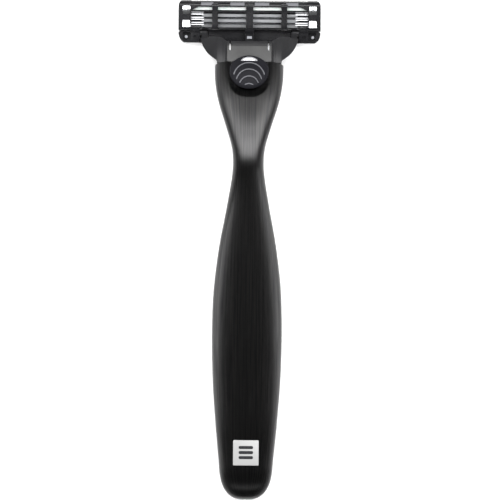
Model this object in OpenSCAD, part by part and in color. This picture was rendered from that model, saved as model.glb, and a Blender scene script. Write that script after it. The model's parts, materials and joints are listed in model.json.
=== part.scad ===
// Three-blade cartridge razor with a sprung pivoting cartridge and a push-button release.
// It lies blades down. +Z is up out of the razor's back, +Y runs to the cartridge, X is across.

/* [Overall] */
// length from the butt to the cap edge of the cartridge
overall_l = 146; // [120:1:170]
// tilt of the head and of the release axis
tilt = 25; // [10:1:35]
// gap left between parts that are pressed or glued together
press_gap = 0.02; // [0.01:0.01:0.05]
// gap left between parts that slide on each other
slide_gap = 0.1; // [0.05:0.01:0.2]
// facets asked for on round pins and bores
node_detail = 32; // [16:4:64]

/* [Handle] */
// roundness of the grip's section: 2 is an ellipse, more is squarer
grip_power = 2.5; // [2:0.1:4]
// length over which the butt rounds off
butt_l = 10; // [6:1:16]
// distance of the head's front face behind the mechanism's origin
head_front = 8.4; // [7:0.1:10]
// half width of the cavity in the head
cavity_hw = 6.7; // [6:0.1:7.2]
// depth of the cavity's rear wall behind the origin
cavity_rear = 20.4; // [18:0.1:22]

/* [Badge] */
// side of the square badge plate
badge_side = 7.5; // [5:0.1:9]
// thickness of the badge plate
badge_t = 0.8; // [0.4:0.1:1.2]
// distance of the badge's centre from the cap edge
badge_s = 132; // [125:0.1:136]

/* [Nose and plunger] */
// half width of the nose that the cartridge pushes onto
nose_hw = 4.5; // [4:0.1:5]
// half thickness of the nose
nose_ht = 2.2; // [1.8:0.1:2.6]
// distance of the nose's tip behind the origin
nose_tip = 2.6; // [2:0.1:4]
// half width of the plunger
plunger_hw = 1.2; // [0.8:0.1:1.5]
// half thickness of the plunger
plunger_ht = 1.0; // [0.7:0.1:1.2]

/* [Button] */
// radius of the round ejector button
button_r = 5.8; // [5:0.1:6.5]
// travel of the ejector button
button_travel = 3; // [2:0.1:4]
// number of arched ridges on the button
ridge_count = 4; // [2:1:4]
// height of the ridges
ridge_h = 0.22; // [0.1:0.01:0.4]

/* [Connector] */
// half width of the connector's sleeve
sleeve_hw = 6.8; // [6:0.1:7.5]
// half height of the connector's sleeve
sleeve_ht = 3.1; // [2.8:0.1:3.5]
// half width across the wings
wing_hw = 14.35; // [13:0.05:15]
// radius of the pivot pins
pivot_r = 0.8; // [0.6:0.05:1]
// distance of the pivot from the cap edge
pivot_s = 9.6; // [8:0.1:11]
// height of the pivot
pivot_z = 2.2; // [1.6:0.1:3]

/* [Cartridge] */
// half width of the blade housing
housing_hw = 20.75; // [18:0.05:22]
// depth of the blade housing from cap edge to guard edge
housing_l = 12.5; // [10:0.1:14]
// height of the housing's back
housing_h = 4.6; // [4:0.1:6]
// half width of the blade window
window_hw = 17.2; // [15:0.1:18]
// distance of the first blade support from the cap edge
blade_s = 3.9; // [3:0.05:5]
// pitch of the blades
blade_pitch = 1.52; // [1.2:0.02:1.8]
// tilt of the blades from the shaving plane
blade_tilt = 21.5; // [15:0.5:30]
// thickness of a blade
blade_t = 0.12; // [0.08:0.01:0.2]
// thickness of a blade support
support_t = 0.3; // [0.2:0.05:0.4]
// width of a clip
clip_w = 2.25; // [1.5:0.05:3]
// thickness of a clip
clip_t = 0.3; // [0.2:0.05:0.5]
// distance of the clips' cap side from the cap edge
clip_s = 1.55; // [1.2:0.05:1.8]
// number of fins on the guard strip
fin_count = 6; // [3:1:8]

/* [Hidden] */
cap_y = overall_l / 2;
origin_s = 12;
origin_z = 6;
blade_len_hw = 18.5;
clip_in = window_hw + 0.15;
clip_end = 8.35;
clip_lane = [clip_in - 0.02, clip_in + clip_w + 0.02];
pivot_y = cap_y - pivot_s;
lean = [cos(tilt), sin(tilt)];
// the pivot in the mechanism's own frame, and the cam radius that makes the plunger follow it
pivot_u = (origin_s - pivot_s) * lean[0] - (pivot_z - origin_z) * lean[1];
pivot_v = (origin_s - pivot_s) * lean[1] + (pivot_z - origin_z) * lean[0];
cam_r = -pivot_v;
contact_u = 1.99;
cam_start = (pivot_u - contact_u) / cam_r * 180 / PI;
cam_travel = 40;
cam_hw = 1.3;
bar_z = 1.5;
plate_z = 0.85;
front_z = 0.45;
pocket_z = 1.6;
window_s = [3.68, 8.15];
tab_x = [13.4, 17.1];
tab_s = 0.42;
rib_x = 10.2;
rib_r = 1.0;
edge_cut = [1.3, 2.5];
// half width, bottom and top of the handle at distances from the cap edge
stations = [
    [10, 9.75, 0.75, 9.2],
    [18, 9.95, 4.4, 13.0],
    [24, 9.85, 7.1, 15.6],
    [30, 8.8, 10.3, 17.95],
    [38, 6.3, 13.9, 20.85],
    [44, 4.7, 15.5, 22.6],
    [50, 4.52, 15.6, 23.2],
    [60, 6.05, 14.3, 22.3],
    [72, 8.25, 11.3, 20.0],
    [84, 9.7, 8.2, 17.4],
    [96, 10.15, 5.2, 14.9],
    [110, 9.9, 2.5, 12.2],
    [124, 8.95, 0.7, 9.9],
    [136, 7.85, 0.0, 8.0],
    [146, 7.3, 0.0, 6.9],
];
first_s = 15;
grip_rings = 42;
butt_rings = 7;
ring_points = 32;

// ---- curves ----

function last() = len(stations) - 1;
function seg(s, i = 0) = (i >= last() - 1 || s < stations[i + 1][0]) ? i : seg(s, i + 1);
function rise(a, b, k) = (stations[b][k] - stations[a][k]) / (stations[b][0] - stations[a][0]);
function slope(i, k) = rise(max(i - 1, 0), min(i + 1, last()), k);
// smooth curve through the stations' column k at distance s
function curve(s, k) =
    let (i = seg(s), h = stations[i + 1][0] - stations[i][0], t = (s - stations[i][0]) / h)
    (2 * t ^ 3 - 3 * t ^ 2 + 1) * stations[i][k] + (t ^ 3 - 2 * t ^ 2 + t) * h * slope(i, k)
    + (3 * t ^ 2 - 2 * t ^ 3) * stations[i + 1][k] + (t ^ 3 - t ^ 2) * h * slope(i + 1, k);
function butt_t(s) = max(0, (s - overall_l + butt_l) / butt_l);
function closing(s, p) = (1 - butt_t(s) ^ p) ^ (1 / p);
function half_w(s) = curve(s, 1) * closing(s, 2.6);
function mid_z(s) = (curve(s, 2) + curve(s, 3)) / 2;
function half_h(s) = (curve(s, 3) - curve(s, 2)) / 2 * closing(s, 2.2);
function bend(v) = sign(v) * abs(v) ^ (2 / grip_power);
function ring(s) = [for (i = [0:ring_points - 1])
    let (a = 360 * i / ring_points)
    [half_w(s) * bend(cos(a)), cap_y - s, mid_z(s) + half_h(s) * bend(sin(a))]];
function ring_s() = concat(
    [for (i = [0:grip_rings]) first_s + (overall_l - butt_l - first_s) * i / grip_rings],
    [for (i = [1:butt_rings]) overall_l - butt_l + butt_l * sin(86 * i / butt_rings)]);
// height of the handle's back on its centre line
function back_z(s) = mid_z(s) + half_h(s);
function back_angle(s) = atan2(back_z(s - 1) - back_z(s + 1), 2);
// involute point at roll angle t degrees, in the pivot's frame at rest
function cam_point(t) =
    let (turn = 90 - tilt - (t - cam_start), roll = t * PI / 180)
    [pivot_y + cam_r * (cos(turn) - roll * sin(turn)),
        pivot_z + cam_r * (sin(turn) + roll * cos(turn))];

// ---- frames and helpers ----

// the mechanism's frame: +Y runs out of the nose along the release axis
module mech() {
    translate([0, cap_y - origin_s, origin_z])
        rotate([-tilt, 0, 0])
            children();
}

// a box from one corner to the other
module span(x, y, z) {
    translate([x[0], y[0], z[0]])
        cube([x[1] - x[0], y[1] - y[0], z[1] - z[0]]);
}

// a side profile given as [distance from the cap edge, height], drawn from x[0] to x[1]
module side(x, points) {
    translate([x[0], 0, 0])
        rotate([90, 0, 90])
            linear_extrude(x[1] - x[0])
                polygon([for (p = points) [cap_y - p[0], p[1]]]);
}

// a plan outline given as [x, distance from the cap edge], drawn from z[0] to z[1]
module plan(z, points) {
    translate([0, 0, z[0]])
        linear_extrude(z[1] - z[0])
            polygon([for (p = points) [p[0], cap_y - p[1]]]);
}

// a box in distances from the cap edge
module box(x, s, z) {
    span(x, [cap_y - s[1], cap_y - s[0]], z);
}

// a round bar across the razor, centred at distance s and height z
module across(x, s, z, r) {
    translate([x[0], cap_y - s, z])
        rotate([0, 90, 0])
            cylinder(r = r, h = x[1] - x[0], $fn = node_detail);
}

module both_sides() {
    children();
    mirror([1, 0, 0])
        children();
}

// ---- handle ----

module grip_shape() {
    s = ring_s();
    n = ring_points;
    m = len(s);
    polyhedron(
        points = [for (v = s) each ring(v)],
        faces = concat(
            [[for (i = [0:n - 1]) i]],
            [for (j = [0:m - 2]) for (i = [0:n - 1])
                [j * n + i, (j + 1) * n + i, j * n + (i + 1) % n]],
            [for (j = [0:m - 2]) for (i = [0:n - 1])
                [j * n + (i + 1) % n, (j + 1) * n + i, (j + 1) * n + (i + 1) % n]],
            [[for (i = [n - 1:-1:0]) (m - 1) * n + i]]));
}

module badge_place(drop) {
    translate([0, cap_y - badge_s, back_z(badge_s) - drop])
        rotate([back_angle(badge_s), 0, 0])
            children();
}

module handle_body() {
    color([0.11, 0.11, 0.12])
        difference() {
            grip_shape();
            mech()
                span([-12, 12], [-head_front, 8], [-12, 12]);
            mech() {
                cavity(0, block_top + press_gap, rear_top + press_gap);
                // seat that the button slides in, open to the front, and the slot under it
                translate([0, button_u, seat_v])
                    cylinder(r = button_r + 0.25, h = 8, $fn = 64);
                span([-1, 1] * (button_r + 0.25), [button_u, 0], [seat_v, 9]);
                span([-1, 1] * (foot_hw + slide_gap),
                    [foot_u[0] - slide_gap, foot_u[1] + button_travel + slide_gap], [2, 9]);
            }
            mech()
                pin_shape(pin_r + press_gap, pin_hw + press_gap);
            badge_place(badge_t + 0.15 + press_gap)
                span([-0.5, 0.5] * (badge_side + 2 * press_gap),
                    [-0.5, 0.5] * (badge_side + 2 * press_gap), [0, 3]);
        }
}

module badge_plate() {
    color([0.8, 0.8, 0.8])
        badge_place(badge_t + 0.15)
            span([-0.5, 0.5] * badge_side, [-0.5, 0.5] * badge_side, [0, badge_t]);
}

// three plain bars
module badge_motif() {
    bar = [0.9, 4.2];
    bar_pitch = 1.5;
    bar_h = 0.08;
    color([0.1, 0.1, 0.1])
        badge_place(0.15 - press_gap)
            for (i = [-1:1])
                span([-0.5, 0.5] * bar[1], [i, i] * bar_pitch + [-0.5, 0.5] * bar[0],
                    [0, bar_h]);
}

// ---- insert, plunger and springs in the head ----

block_rear = 15;
// half width of the cavity's rear and upper parts, which stay clear of the handle's skin
inner_hw = 6.2;
cavity_floor = -2.6;
// tops of the cavity's side shoulders, middle and rear
shoulder_top = 1.9;
block_top = 2.62;
rear_top = 1.68;
bore_rear = 14;
plunger_travel = 1.7;
flange_u = [-9.6, -8.9];
arm_in = 4.6;
arm_out = 6.1;
arm_ht = 1.1;
pin_r = 0.5;
pin_hw = 7.8;
pin_u = -17.6;
pin_v = -1.95;
leaf_hw = 1.4;

// the space in the head, or the solid that fills it when g is the gap left all round
module cavity(g, top, low_top) {
    front = g > 0 ? -head_front : 0;
    span([g - cavity_hw, cavity_hw - g], [g - block_rear, front],
        [cavity_floor + g, shoulder_top - g]);
    span([g - inner_hw, inner_hw - g], [g - block_rear, front], [cavity_floor + g, top]);
    span([g - inner_hw, inner_hw - g], [g - cavity_rear, front], [cavity_floor + g, low_top]);
}

module pin_shape(r, hw) {
    translate([-hw, pin_u, pin_v])
        rotate([0, 90, 0])
            cylinder(r = r, h = 2 * hw, $fn = node_detail);
}

// a round bore along the release axis
module bore_along(x, u, r) {
    translate([x, u[0], 0])
        rotate([-90, 0, 0])
            cylinder(r = r, h = u[1] - u[0], $fn = node_detail);
}

module nose_insert() {
    g = press_gap;
    plunger_gap = slide_gap;
    rear_plate_v = 1.3;
    color([0.2, 0.2, 0.22])
        mech()
            difference() {
                union() {
                    difference() {
                        cavity(g, block_top, rear_top);
                        // room for the slider's crossbar between the two rear plates
                        span([-9, 9], [-cavity_rear - 1, -block_rear], [-1, 1] * rear_plate_v);
                    }
                    translate([0, 0, -nose_ht])
                        linear_extrude(2 * nose_ht)
                            polygon([[-nose_hw, -head_front - 1], [nose_hw, -head_front - 1],
                                [nose_hw, -nose_tip - 0.8], [nose_hw - 0.8, -nose_tip],
                                [0.8 - nose_hw, -nose_tip], [-nose_hw, -nose_tip - 0.8]]);
                }
                span([-1, 1] * (plunger_hw + plunger_gap), [flange_u[0] - plunger_travel, 0],
                    [-1, 1] * (plunger_ht + plunger_gap));
                bore_along(0, [-bore_rear, flange_u[1] + 0.02], 1.5);
                both_sides() {
                    // channel for a push arm, and the slot its post runs in
                    span([arm_in, arm_out], [-cavity_rear - 1, 0], [-arm_ht, arm_ht]);
                    span([arm_in, foot_hw], foot_u + [-slide_gap, button_travel + slide_gap],
                        [0, 3]);
                    bore_along(3.1, [-block_rear - 1, -13.2], 1.15);
                }
                span([-1.6, 1.6], [-7.8, -nose_tip - 0.6], [-3, -1.35]);
                pin_shape(pin_r + g, 9);
            }
}

module insert_pin() {
    color([0.7, 0.7, 0.72])
        mech()
            pin_shape(pin_r, pin_hw);
}

module plunger() {
    color([0.32, 0.33, 0.36])
        mech() {
            translate([0, 0, -plunger_ht])
                linear_extrude(2 * plunger_ht)
                    polygon([[-plunger_hw, flange_u[0] + 0.2], [plunger_hw, flange_u[0] + 0.2],
                        [plunger_hw, contact_u - 0.45], [plunger_hw - 0.4, contact_u - 0.05],
                        [0.4 - plunger_hw, contact_u - 0.05], [-plunger_hw, contact_u - 0.45]]);
            bore_along(0, flange_u, 1.4);
        }
}

// a coil of square wire along the release axis, closed at both ends by a flat ring
module coil(x, u, r, turns) {
    wire = 0.3;
    h = u[1] - u[0];
    translate([x, u[0], 0])
        rotate([-90, 0, 0]) {
            difference() {
                cylinder(r = r, h = wire, $fn = node_detail);
                translate([0, 0, -1])
                    cylinder(r = r - wire, h = 3, $fn = node_detail);
            }
            linear_extrude(h, twist = -360 * turns, slices = turns * 12)
                intersection() {
                    difference() {
                        circle(r = r, $fn = 16);
                        circle(r = r - wire, $fn = 16);
                    }
                    polygon([[0, 0], [2 * r, 0], [2 * r, 2 * r], [0, 2 * r]]);
                }
        }
}

module plunger_spring() {
    color([0.7, 0.7, 0.72])
        mech()
            coil(0, [-bore_rear + 0.02, flange_u[0] - 0.02], 1.3, 4);
}

module button_springs() {
    color([0.7, 0.7, 0.72])
        mech()
            for (x = [-3.1, 3.1])
                coil(x, [-18.55, -13.25], 1.0, 4);
}

module detent_spring() {
    color([0.7, 0.7, 0.72])
        mech() {
            span([-leaf_hw, leaf_hw], [-7.6, -3.5], [-2.0, -1.75]);
            span([-leaf_hw, leaf_hw], [-7.6, -7.0], [-1.9, -1.38]);
            translate([-leaf_hw, -4.2, -2.02])
                rotate([0, 90, 0])
                    cylinder(r = 0.55, h = 2 * leaf_hw, $fn = node_detail);
        }
}

// ---- ejector ----

button_u = -11.5;
dome_r = 14;
button_top = 5.1;
button_under = 3.35;
// the foot joins the button to the slider through the slot
foot_hw = 5.3;
foot_u = [-13.5, -11.7];
seat_v = 3.2;

module button_dome(r) {
    translate([0, button_u, button_top - dome_r])
        sphere(r = r, $fn = 96);
}

module ejector_button() {
    // each ridge crests further forward, on a larger radius
    first_crest = -15.6;
    crest_pitch = 2.3;
    first_r = 2.5;
    r_step = 0.8;
    ridge_w = 0.45;
    cheek = 0.5;
    color([0.2, 0.22, 0.26])
        mech() {
            intersection() {
                translate([0, button_u, button_under])
                    cylinder(r = button_r, h = 4, $fn = 64);
                button_dome(dome_r);
                translate([0, 0, button_under - 1])
                    linear_extrude(6)
                        polygon([[-7, -20], [7, -20], [7, -10], [2.5, -6.85], [-2.5, -6.85],
                            [-7, -10]]);
            }
            intersection() {
                translate([0, button_u, button_under])
                    cylinder(r = button_r - 0.5, h = 4, $fn = 64);
                button_dome(dome_r + ridge_h);
                for (i = [0:ridge_count - 1]) {
                    r = first_r + i * r_step;
                    translate([0, first_crest + i * crest_pitch - r, button_under + 0.1])
                        difference() {
                            cylinder(r = r, h = 4, $fn = 64);
                            translate([0, 0, -1])
                                cylinder(r = r - ridge_w, h = 6, $fn = 64);
                            span([-12, 12], [-12, cheek * r], [-1, 6]);
                        }
                }
                translate([0, 0, button_under])
                    linear_extrude(4)
                        polygon([[-7, -20], [7, -20], [7, -10.5], [2.2, -7.4], [-2.2, -7.4],
                            [-7, -10.5]]);
            }
            span([-foot_hw, foot_hw], foot_u, [2.75, button_under + 0.1]);
        }
}

module ejector_slider() {
    color([0.25, 0.25, 0.27])
        mech() {
            span([-arm_out + 0.1, arm_out - 0.1], [-20.1, -18.6], [-1, 1]);
            both_sides() {
                span([arm_in + 0.1, arm_out - 0.1], [-18.7, -head_front - button_travel],
                    [-1, 1]);
                span([arm_in + 0.1, foot_hw - 0.1], foot_u + [0.1, -0.1], [0.9, 2.75 - press_gap]);
            }
        }
}

// ---- connector ----

// right half of the wings' outline as [x, distance from the cap edge]
wing_edge = [[9.4, 20], [9.6, 17.9], [10.6, 17], [11.8, 16.1], [12.9, 14.8], [13.7, 13.2],
    [wing_hw - 0.15, 12.1], [wing_hw, 11.5], [12.1, 11.2], [11.6, 10.8], [8.6, 10.8], [6.6, 12.2]];

module connector() {
    rear = -head_front + 0.2;
    front = -0.5;
    // fall of the sleeve's back towards the handle
    back_fall = 0.35;
    color([0.3, 0.31, 0.33])
        difference() {
            union() {
                mech()
                    translate([-sleeve_hw, 0, 0])
                        rotate([90, 0, 90])
                            linear_extrude(2 * sleeve_hw)
                                polygon([[rear, -sleeve_ht], [front - 0.9, -sleeve_ht],
                                    [front, -2.2], [front, 1.9], [-3.1, sleeve_ht],
                                    [rear, sleeve_ht - back_fall]]);
                intersection() {
                    plan([0, 16], concat(wing_edge,
                        [for (i = [len(wing_edge) - 1:-1:0]) [-wing_edge[i][0], wing_edge[i][1]]]));
                    mech()
                        translate([0, 3, 0])
                            rotate([90, 0, 0])
                                linear_extrude(3 - rear)
                                    polygon([[-15, -0.5], [-12, 0.9], [-8.4, 2.1], [-7, 2.4],
                                        [7, 2.4], [8.4, 2.1], [12, 0.9], [15, -0.5],
                                        [15, -1.7], [12, -0.2], [7, 0.9], [-7, 0.9],
                                        [-12, -0.2], [-15, -1.7]]);
                }
                both_sides() {
                    side([12.2, 13.9], [[12.9, 5.9], [11.8, 4.95], [9.4, 2.9], [9.2, 2.2],
                        [10.0, 1.5], [11.2, 2.4], [12.9, 3.9]]);
                    across([12.2, 16.3], pivot_s, pivot_z, pivot_r);
                }
            }
            // socket for the nose, and the plunger's window
            mech()
                span([-1, 1] * (nose_hw + slide_gap), [rear - 1, -1.7],
                    [-1, 1] * (nose_ht + slide_gap));
            mech()
                span([-1.5, 1.5], [-2, 1], [-1.3, 1.3]);
            // detent recess in the socket's floor
            mech()
                span([-1.6, 1.6], [-5.0, -3.4], [-2.75, -2]);
            // slots beside the tongue
            both_sides()
                box([5.4, 5.8], [11.2, 14.9], [0, 16]);
        }
}

// ---- cartridge ----

module cam_boss() {
    last_t = cam_start + cam_travel + 2;
    flank = [for (t = [cam_start - 22:4:last_t]) cam_point(t)];
    translate([-cam_hw, 0, 0])
        rotate([90, 0, 90])
            linear_extrude(2 * cam_hw)
                polygon(concat([[cap_y - 10.3, bar_z - 0.2]], flank,
                    [[cap_y - 8.3, 6.3], [cap_y - 7.6, 4.4], [cap_y - 7.6, 3.6],
                        [cap_y - 8.4, bar_z - 0.2]]));
}

module blade_housing() {
    w = housing_hw;
    color([0.09, 0.09, 0.1])
        difference() {
            union() {
                intersection() {
                    side([-w, w], [[0.1, 1.5], [0.6, 0.7], [1.2, front_z], [8.75, front_z],
                        [8.75, 3.6], [8.3, 4.3], [7.9, housing_h], [1.4, housing_h],
                        [0.4, 4.0], [0, 3.1]]);
                    plan([0, 8], [[-w, 9], [-w, 1.6], [-w + 0.35, 0.7], [-w + 1.3, 0],
                        [w - 1.3, 0], [w - 0.35, 0.7], [w, 1.6], [w, 9]]);
                }
                box([-14.5, 14.5], [8.7, housing_l], [plate_z, bar_z]);
                both_sides()
                    plan([plate_z, 3.4], [[14.45, 8.7], [w, 8.7], [w, housing_l - edge_cut[1]],
                        [w - edge_cut[0], housing_l], [14.45, housing_l]]);
                for (x = [-rib_x, 0, rib_x])
                    translate([x, cap_y - 8.2, 4.35])
                        rotate([-90, 0, 0])
                            cylinder(r = rib_r, h = 6.9, $fn = node_detail);
                cam_boss();
            }
            // blade window and the strip's slot, with three ribs left across the back of both
            difference() {
                union() {
                    box([-window_hw, window_hw], window_s, [-1, 6]);
                    plan([0, 9], [[-17.05, 3], [17.05, 3], [14.85, 2], [-14.85, 2]]);
                }
                for (x = [-rib_x, 0, rib_x])
                    box([x - rib_r, x + rib_r], [1.5, window_s[1]], [4.0, 5.4]);
            }
            box([-1, 1] * (blade_len_hw + 0.15), window_s + [0, 0.3], [-1, pocket_z]);
            box([-16.85, 16.85], [0.9, 3.3], [-1, 1.15]);
            both_sides() {
                // room for the tabs of the first blade support
                box(tab_x + [-0.1, 0.1], [blade_s - tab_s - 0.1, window_s[0] + 1], [2.8, 9]);
                // clip slots and the shallow track for the folded legs
                for (slot = [[clip_s - 0.04, clip_s + clip_t + 0.04],
                        [clip_end - clip_t - 0.04, clip_end + 0.04]])
                    box(clip_lane, slot, [-1, 9]);
                box(clip_lane, [clip_s - 0.04, clip_end + 0.04], [housing_h - clip_t, 9]);
                // pocket and hole for the guard strip's stud
                box([17.2, 19.5], [9.4, 11.8], [1.7, 9]);
                translate([18.5, cap_y - 10.75, 0])
                    cylinder(r = 0.47, h = 4, $fn = node_detail);
                across([14, 16.5], pivot_s, pivot_z, pivot_r + 0.03);
                across([12.05, 14.45], pivot_s, pivot_z, 1.05);
                box([20.35, 22], [9.0, 9.3], [0, 9]);
            }
        }
}

module guard_strip() {
    pitch = 3 / (fin_count - 1);
    color([0.13, 0.14, 0.16]) {
        box([-19.4, 19.4], [8.95, 12.3], [0.5, plate_z - 0.02]);
        for (i = [0:fin_count - 1])
            side([-19.2, 19.2], [[9.0 + i * pitch, 0.55], [9.1 + i * pitch, 0.2],
                [9.2 + i * pitch, 0.2], [9.25 + i * pitch, 0.55]]);
        both_sides()
            translate([18.5, cap_y - 10.75, 0.6])
                cylinder(r = 0.45, h = 1.7, $fn = node_detail);
    }
}

module lubricating_strip() {
    color([0.85, 0.87, 0.85]) {
        side([-16.8, 16.8], [[0.95, 1.13], [0.95, 0.5], [1.3, 0.25], [2.8, 0.25], [3.25, 0.5],
            [3.25, 1.13]]);
        plan([1, 3.2], [[-17.0, 2.97], [17.0, 2.97], [14.8, 2.03], [-14.8, 2.03]]);
    }
}

// a flat band bent around the housing, with both ends folded over the back
module clip() {
    t = clip_t;
    s = [clip_s, clip_end];
    z = 4.62;
    color([0.88, 0.89, 0.9])
        side([clip_in, clip_in + clip_w], [[s[0], 0.3], [s[0] + 0.3, 0], [s[1] - 0.3, 0],
            [s[1], 0.3], [s[1], z - 0.1], [s[1] - 0.2, z + 0.1], [5.9, z - 0.02],
            [5.9, z - 0.02 - t], [s[1] - t, z - t + 0.05], [s[1] - t, t], [s[0] + t, t],
            [s[0] + t, z - t], [4.3, z - t], [4.3, z], [s[0] + 0.2, z + 0.05],
            [s[0], z - 0.15]]);
}

module clip_left() {
    mirror([1, 0, 0])
        clip();
}

module clip_right() {
    clip();
}

function support_s(i) = blade_s + (i - 1) * blade_pitch;

module blade_support(i) {
    s = support_s(i);
    t = support_t;
    drop = tan(blade_tilt);
    platform = 0.95;
    z = [1.17, 3.6];
    color([0.72, 0.73, 0.75]) {
        side([-17.1, 17.1], [[s - t / 2, z[0]], [s + t / 2, z[0]], [s + t / 2, z[1]],
            [s - t / 2, z[1]]]);
        side([-blade_len_hw, blade_len_hw], [[s - t / 2, z[0] - 0.1], [s, z[0] - 0.15],
            [s + platform, z[0] - 0.15 - platform * drop],
            [s + platform, z[0] + 0.17 - platform * drop], [s + t / 2, z[0] + 0.12],
            [s - t / 2, z[0] + 0.12]]);
        both_sides()
            box(tab_x, [s - tab_s, s + tab_s], [z[1] - 0.2, z[1]]);
    }
}

module blade(i) {
    s = support_s(i);
    drop = tan(blade_tilt);
    edge = 1.24;
    z = 1.0;
    shoulder = [edge - 0.25, drop * (edge - 0.15)];
    color([0.85, 0.86, 0.88])
        side([-blade_len_hw, blade_len_hw], [[s - 0.1, z], [s + shoulder[0], z - shoulder[1]],
            [s + edge, z - blade_t - drop * (edge + 0.1) + 0.02],
            [s + shoulder[0], z - blade_t - shoulder[1]], [s - 0.1, z - blade_t]]);
}

// a pair of thin fingers from the window's end walls to the blade support
module blade_springs(i) {
    s = support_s(i);
    color([0.15, 0.15, 0.17])
        both_sides()
            translate([0, cap_y - s - 0.75, 0])
                rotate([90, 0, 0])
                    mirror([0, 0, 1])
                        linear_extrude(0.4)
                            polygon([[17.18, 1.95], [17.18, 2.35], [14.2, 1.6], [14.0, 1.4],
                                [14.2, 1.3]]);
}

module blade_1() {
    blade(1);
}

module blade_2() {
    blade(2);
}

module blade_3() {
    blade(3);
}

module blade_support_1() {
    blade_support(1);
}

module blade_support_2() {
    blade_support(2);
}

module blade_support_3() {
    blade_support(3);
}

module blade_springs_1() {
    blade_springs(1);
}

module blade_springs_2() {
    blade_springs(2);
}

module blade_springs_3() {
    blade_springs(3);
}

handle_body();
badge_plate();
badge_motif();
nose_insert();
insert_pin();
ejector_button();
ejector_slider();
button_springs();
plunger();
plunger_spring();
detent_spring();
connector();
blade_housing();
guard_strip();
lubricating_strip();
clip_left();
clip_right();
blade_1();
blade_2();
blade_3();
blade_support_1();
blade_support_2();
blade_support_3();
blade_springs_1();
blade_springs_2();
blade_springs_3();
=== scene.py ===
"""Looks for the cartridge razor. Shapes are in millimetres, and scaled to metres at the end.

The razor lies blades down: +Z is up out of its back, +Y runs to the cartridge, X is across.
Distances called s are measured from the cartridge's cap edge towards the butt.
"""

import json
import math

import bmesh
import bpy
from mathutils import Matrix, Vector


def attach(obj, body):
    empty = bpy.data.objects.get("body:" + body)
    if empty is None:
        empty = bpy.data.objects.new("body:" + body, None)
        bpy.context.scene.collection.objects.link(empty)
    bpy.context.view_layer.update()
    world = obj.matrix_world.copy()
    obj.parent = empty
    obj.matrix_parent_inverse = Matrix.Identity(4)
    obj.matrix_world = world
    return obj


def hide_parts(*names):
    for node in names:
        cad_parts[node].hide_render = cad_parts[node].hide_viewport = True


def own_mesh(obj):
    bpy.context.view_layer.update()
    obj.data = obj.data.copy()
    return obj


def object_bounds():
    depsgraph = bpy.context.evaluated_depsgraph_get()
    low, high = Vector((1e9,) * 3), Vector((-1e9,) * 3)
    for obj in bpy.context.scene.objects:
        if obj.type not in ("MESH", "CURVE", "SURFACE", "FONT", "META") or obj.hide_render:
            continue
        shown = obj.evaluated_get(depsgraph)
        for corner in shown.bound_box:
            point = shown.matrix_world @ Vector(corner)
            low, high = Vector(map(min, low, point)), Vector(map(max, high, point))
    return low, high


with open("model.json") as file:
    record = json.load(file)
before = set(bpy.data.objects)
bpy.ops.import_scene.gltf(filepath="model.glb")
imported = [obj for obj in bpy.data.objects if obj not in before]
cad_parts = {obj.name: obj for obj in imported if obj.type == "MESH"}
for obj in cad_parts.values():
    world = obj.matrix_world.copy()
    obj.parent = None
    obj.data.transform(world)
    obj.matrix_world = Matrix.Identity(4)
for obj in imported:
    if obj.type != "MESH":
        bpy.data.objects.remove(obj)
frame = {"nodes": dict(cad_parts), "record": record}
cad_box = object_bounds()

MM = 0.001
TOP_Y = cad_box[1][1] / MM
LENGTH = (cad_box[1][1] - cad_box[0][1]) / MM

# ------------------------------ sizes shared with the CAD source

TILT = math.radians(25)
ORIGIN_S, ORIGIN_Z = 12.0, 6.0
HEAD_FRONT = 8.4
# the cavity in the head: half widths, rear ends, floor and tops
CAVITY_HW, INNER_HW = 6.7, 6.2
BLOCK_REAR, CAVITY_REAR = -15.0, -20.4
CAVITY_FLOOR, SHOULDER_TOP, BLOCK_TOP, REAR_TOP = -2.6, 1.9, 2.64, 1.7
# slot in the button's seat
SLOT_HW, SLOT_U = 5.4, (-13.6, -8.0)
SEAT_V = 3.2
BUTTON_U, BUTTON_R, BUTTON_TOP, BUTTON_UNDER = -11.5, 5.8, 5.1, 3.35
BADGE_S, BADGE_SIDE = 132.0, 7.5
PIVOT_S, PIVOT_Z, PIVOT_R = 9.6, 2.2, 0.8
WINDOW_HW, HOUSING_HW = 17.2, 20.75
CLIP_IN, CLIP_W, CLIP_T = 17.35, 2.25, 0.3
CLIP_S = (1.55, 8.35)
BLADE_S, BLADE_PITCH = 3.9, 1.52
BLADE_SLOPE = math.tan(math.radians(21.5))
STUD_X, STUD_S = 18.5, 10.75
GRIP_POWER = 2.5
BUTT_L = 10.0

# half width, underside and back of the handle at distances from the cap edge
STATIONS = [
    (10, 9.75, 0.75, 9.2),
    (18, 9.95, 4.4, 13.0),
    (24, 9.85, 7.1, 15.6),
    (30, 8.8, 10.3, 17.95),
    (38, 6.3, 13.9, 20.85),
    (44, 4.7, 15.5, 22.6),
    (50, 4.52, 15.6, 23.2),
    (60, 6.05, 14.3, 22.3),
    (72, 8.25, 11.3, 20.0),
    (84, 9.7, 8.2, 17.4),
    (96, 10.15, 5.2, 14.9),
    (110, 9.9, 2.5, 12.2),
    (124, 8.95, 0.7, 9.9),
    (136, 7.85, 0.0, 8.0),
    (146, 7.3, 0.0, 6.9),
]


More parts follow.
